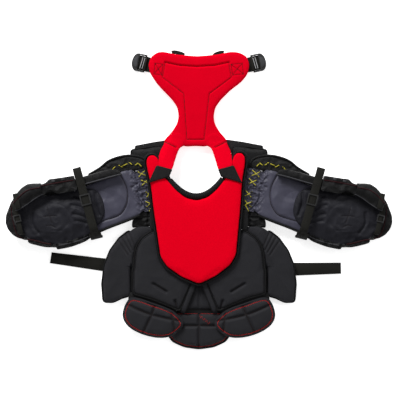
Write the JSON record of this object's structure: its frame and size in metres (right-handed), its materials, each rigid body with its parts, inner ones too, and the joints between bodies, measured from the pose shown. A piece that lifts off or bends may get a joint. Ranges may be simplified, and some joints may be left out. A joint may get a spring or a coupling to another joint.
{
  "type": "hockey goalkeeper chest and arm protector",
  "caption": "Padded chest and arm protector for an ice hockey goalkeeper, laid open with its back panel and straps unfolded above the neck opening.",
  "frame": {"origin": "on the front belly block's resting face, on the centre line, with the wearer's side facing up", "axes": "+X towards the right-hand arm as seen from above, +Y from the belly to the neck, +Z from the front face to the wearer"},
  "size_m": [1.3216, 1.0085, 0.086],
  "materials": {
    "red_liner": "matte",
    "black_shell": "satin",
    "charcoal_knit": "matte",
    "grey_liner": "satin",
    "black_webbing": "matte",
    "black_plastic": "satin",
    "lace": "matte"
  },
  "bodies": {
    "chest": {"chest_liner": "red_liner", "chest_board": "black_shell", "collar_pad": "charcoal_knit", "sternum_guard": "black_shell", "belly_block": "black_shell", "left_chest_block": "black_shell", "left_belly_panel": "charcoal_knit", "left_shoulder_floater": "black_shell", "right_chest_block": "black_shell", "right_belly_panel": "charcoal_knit", "right_shoulder_floater": "black_shell"},
    "centre_pad": {"centre_pad": "charcoal_knit"},
    "yoke": {"left_yoke_tab": "black_webbing", "left_yoke_strap": "red_liner", "right_yoke_tab": "black_webbing", "right_yoke_strap": "red_liner"},
    "back": {"back_panel": "red_liner", "back_shell": "black_plastic", "left_buckle_webbing": "black_webbing", "right_buckle_webbing": "black_webbing"},
    "left_wing": {"left_side_wing": "charcoal_knit", "left_waist_strap": "black_webbing"},
    "left_hip_pad": {"left_hip_pad": "charcoal_knit"},
    "left_waist_buckle": {"left_waist_buckle": "black_plastic"},
    "left_shoulder": {"left_lace_panel": "grey_liner", "left_lace": "lace"},
    "left_upper_arm": {"left_upper_arm_liner": "grey_liner", "left_upper_arm_rail": "black_shell", "left_shoulder_cap": "black_shell", "left_bicep_block": "black_shell", "left_elbow_cap": "black_plastic", "left_bicep_strap": "black_webbing"},
    "left_bicep_buckle": {"left_bicep_buckle": "black_plastic"},
    "left_forearm": {"left_forearm_liner": "charcoal_knit", "left_forearm_block": "black_shell", "left_forearm_wall": "black_shell", "left_wrist_cuff": "charcoal_knit", "left_wrist_strap": "black_webbing"},
    "left_wrist_buckle": {"left_wrist_buckle": "black_plastic"},
    "left_flap": {"left_forearm_flap": "black_shell"},
    "right_wing": {"right_side_wing": "charcoal_knit", "right_waist_strap": "black_webbing"},
    "right_hip_pad": {"right_hip_pad": "charcoal_knit"},
    "right_waist_buckle": {"right_waist_buckle": "black_plastic"},
    "right_shoulder": {"right_lace_panel": "grey_liner", "right_lace": "lace"},
    "right_upper_arm": {"right_upper_arm_liner": "grey_liner", "right_upper_arm_rail": "black_shell", "right_shoulder_cap": "black_shell", "right_bicep_block": "black_shell", "right_elbow_cap": "black_plastic", "right_bicep_strap": "black_webbing"},
    "right_bicep_buckle": {"right_bicep_buckle": "black_plastic"},
    "right_forearm": {"right_forearm_liner": "charcoal_knit", "right_forearm_block": "black_shell", "right_forearm_wall": "black_shell", "right_wrist_cuff": "charcoal_knit", "right_wrist_strap": "black_webbing"},
    "right_wrist_buckle": {"right_wrist_buckle": "black_plastic"},
    "right_flap": {"right_forearm_flap": "black_shell"}
  },
  "joints": [
    {"name": "centre_pad_fold", "type": "hinge", "parent": "chest", "child": "centre_pad", "pos_m": [0, -0.256, 0], "axis": [1, 0, 0], "range_deg": [0, 60]},
    {"name": "yoke_fold", "type": "hinge", "parent": "chest", "child": "yoke", "pos_m": [0, 0.18, 0.0613], "axis": [1, 0, 0], "range_deg": [0, 90]},
    {"name": "back_fold", "type": "hinge", "parent": "yoke", "child": "back", "pos_m": [0, 0.306, 0.0285], "axis": [1, 0, 0], "range_deg": [0, 85]},
    {"name": "left_wing_fold", "type": "hinge", "parent": "chest", "child": "left_wing", "pos_m": [-0.227, -0.09, 0.026], "axis": [0, 1, 0], "range_deg": [0, 60]},
    {"name": "left_hip_pad_fold", "type": "hinge", "parent": "chest", "child": "left_hip_pad", "pos_m": [-0.15, -0.2275, 0.044], "axis": [-0.9613, 0.2756, 0], "range_deg": [0, 70]},
    {"name": "left_waist_buckle_tilt", "type": "hinge", "parent": "back", "child": "left_waist_buckle", "pos_m": [-0.182, 0.581, 0.0075], "axis": [0.2079, 0.9781, 0], "range_deg": [0, 100]},
    {"name": "left_arm_swing", "type": "hinge", "parent": "chest", "child": "left_shoulder", "pos_m": [-0.165, 0.152, 0.033], "axis": [0, 0, -1], "range_deg": [-3, 35]},
    {"name": "left_shoulder_fold", "type": "hinge", "parent": "left_shoulder", "child": "left_upper_arm", "pos_m": [-0.19362, 0.14486, 0.0355], "axis": [-0.2419, 0.9703, 0], "range_deg": [0, 45]},
    {"name": "left_elbow_bend", "type": "hinge", "parent": "left_upper_arm", "child": "left_forearm", "pos_m": [-0.50654, 0.06684, 0.076], "axis": [-0.2419, 0.9703, 0], "range_deg": [0, 100]},
    {"name": "left_flap_open", "type": "hinge", "parent": "left_forearm", "child": "left_flap", "pos_m": [-0.57683, 0.15032, 0.046], "axis": [-0.9703, -0.2419, 0], "range_deg": [0, 110]},
    {"name": "left_bicep_buckle_slide", "type": "slide", "parent": "left_upper_arm", "child": "left_bicep_buckle", "axis": [-0.2419, 0.9703, 0], "range_m": [-0.015, 0.015]},
    {"name": "left_wrist_buckle_slide", "type": "slide", "parent": "left_forearm", "child": "left_wrist_buckle", "axis": [-0.2419, 0.9703, 0], "range_m": [-0.01, 0.008]},
    {"name": "right_wing_fold", "type": "hinge", "parent": "chest", "child": "right_wing", "pos_m": [0.227, -0.09, 0.026], "axis": [0, -1, 0], "range_deg": [0, 60]},
    {"name": "right_hip_pad_fold", "type": "hinge", "parent": "chest", "child": "right_hip_pad", "pos_m": [0.15, -0.2275, 0.044], "axis": [-0.9613, -0.2756, 0], "range_deg": [0, 70]},
    {"name": "right_waist_buckle_tilt", "type": "hinge", "parent": "back", "child": "right_waist_buckle", "pos_m": [0.182, 0.581, 0.0075], "axis": [0.2079, -0.9781, 0], "range_deg": [0, 100]},
    {"name": "right_arm_swing", "type": "hinge", "parent": "chest", "child": "right_shoulder", "pos_m": [0.165, 0.152, 0.033], "axis": [0, 0, 1], "range_deg": [-3, 35]},
    {"name": "right_shoulder_fold", "type": "hinge", "parent": "right_shoulder", "child": "right_upper_arm", "pos_m": [0.19362, 0.14486, 0.0355], "axis": [-0.2419, -0.9703, 0], "range_deg": [0, 45]},
    {"name": "right_elbow_bend", "type": "hinge", "parent": "right_upper_arm", "child": "right_forearm", "pos_m": [0.50654, 0.06684, 0.076], "axis": [-0.2419, -0.9703, 0], "range_deg": [0, 100]},
    {"name": "right_flap_open", "type": "hinge", "parent": "right_forearm", "child": "right_flap", "pos_m": [0.57683, 0.15032, 0.046], "axis": [-0.9703, 0.2419, 0], "range_deg": [0, 110]},
    {"name": "right_bicep_buckle_slide", "type": "slide", "parent": "right_upper_arm", "child": "right_bicep_buckle", "axis": [0.2419, 0.9703, 0], "range_m": [-0.015, 0.015]},
    {"name": "right_wrist_buckle_slide", "type": "slide", "parent": "right_forearm", "child": "right_wrist_buckle", "axis": [0.2419, 0.9703, 0], "range_m": [-0.01, 0.008]}
  ]
}
